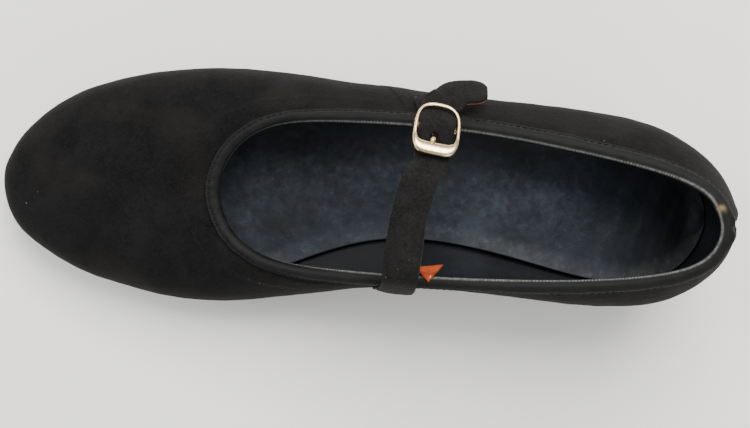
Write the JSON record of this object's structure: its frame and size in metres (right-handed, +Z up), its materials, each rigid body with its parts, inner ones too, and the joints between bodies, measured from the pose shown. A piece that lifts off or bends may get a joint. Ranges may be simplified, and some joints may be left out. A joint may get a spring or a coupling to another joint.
{
  "type": "tap shoe",
  "caption": "Low-heeled suede dance shoe with a buckled instep strap, bound top line, lasted bottom and metal plates under toe and heel.",
  "frame": {"origin": "centre of the shoe's bounding box in plan, on the floor it stands on", "axes": "+X from toe to heel, +Y towards the outer side of the foot, +Z up; the shoe stands on its two taps at Z = 0"},
  "size_m": [0.25, 0.0821, 0.0863],
  "materials": {
    "suede": "napped suede, matt",
    "binding_leather": "smooth black leather, soft sheen",
    "lining_cloth": "dark drill",
    "insole_leather": "blue black leather with a worn sheen",
    "tan_leather": "undyed, raw",
    "fibre_board": "pressed fibre",
    "cork": "ground cork",
    "steel": "bright",
    "tap_aluminium": "tumbled",
    "buckle_gold": "polished pale gold plate",
    "sole_leather": "black waxed",
    "heel_leather": "stacked, black edge ink",
    "rubber": "matt",
    "puff_cloth": "impregnated felt"
  },
  "bodies": {
    "root": {"vamp": "suede", "quarter_outer": "suede", "quarter_inner": "suede", "strap_anchor": "suede", "topline_binding": "binding_leather", "buckle_tab": "binding_leather", "vamp_lining": "lining_cloth", "quarter_lining": "insole_leather", "sock_lining": "insole_leather", "insole_board": "fibre_board", "heel_counter": "fibre_board", "cork_filler": "cork", "shank": "steel", "toe_puff": "puff_cloth", "throat_tape": "puff_cloth", "outsole": "sole_leather", "heel_block": "heel_leather", "heel_top_lift": "rubber", "sole_grip": "rubber", "heel_tap": "tap_aluminium", "toe_tap": "tap_aluminium", "toe_tap_screw_front": "steel", "toe_tap_screw_outer": "steel", "toe_tap_screw_inner": "steel", "heel_tap_screw_back": "steel", "heel_tap_screw_outer": "steel", "heel_tap_screw_inner": "steel", "heel_nail_1": "steel", "heel_nail_2": "steel", "heel_nail_3": "steel", "heel_nail_4": "steel"},
    "strap": {"strap": "suede", "strap_lining": "tan_leather"},
    "buckle": {"buckle_frame": "buckle_gold"},
    "prong": {"buckle_prong": "buckle_gold"}
  },
  "joints": [
    {"name": "strap_swing", "type": "hinge", "parent": "root", "child": "strap", "pos_m": [0.0092, -0.03495, 0.05065], "axis": [0.9479, -0.0359, 0.3167], "range_deg": [0, 115], "deforming": ["strap", "strap_lining"]},
    {"name": "buckle_rock", "type": "hinge", "parent": "root", "child": "buckle", "pos_m": [0.02184, 0.0203, 0.06456], "axis": [0.9798, -0.2, 0], "range_deg": [-5, 5]},
    {"name": "prong_lift", "type": "hinge", "parent": "buckle", "child": "prong", "pos_m": [0.02184, 0.0203, 0.06456], "axis": [-0.9798, 0.2, 0], "range_deg": [0, 80]}
  ]
}
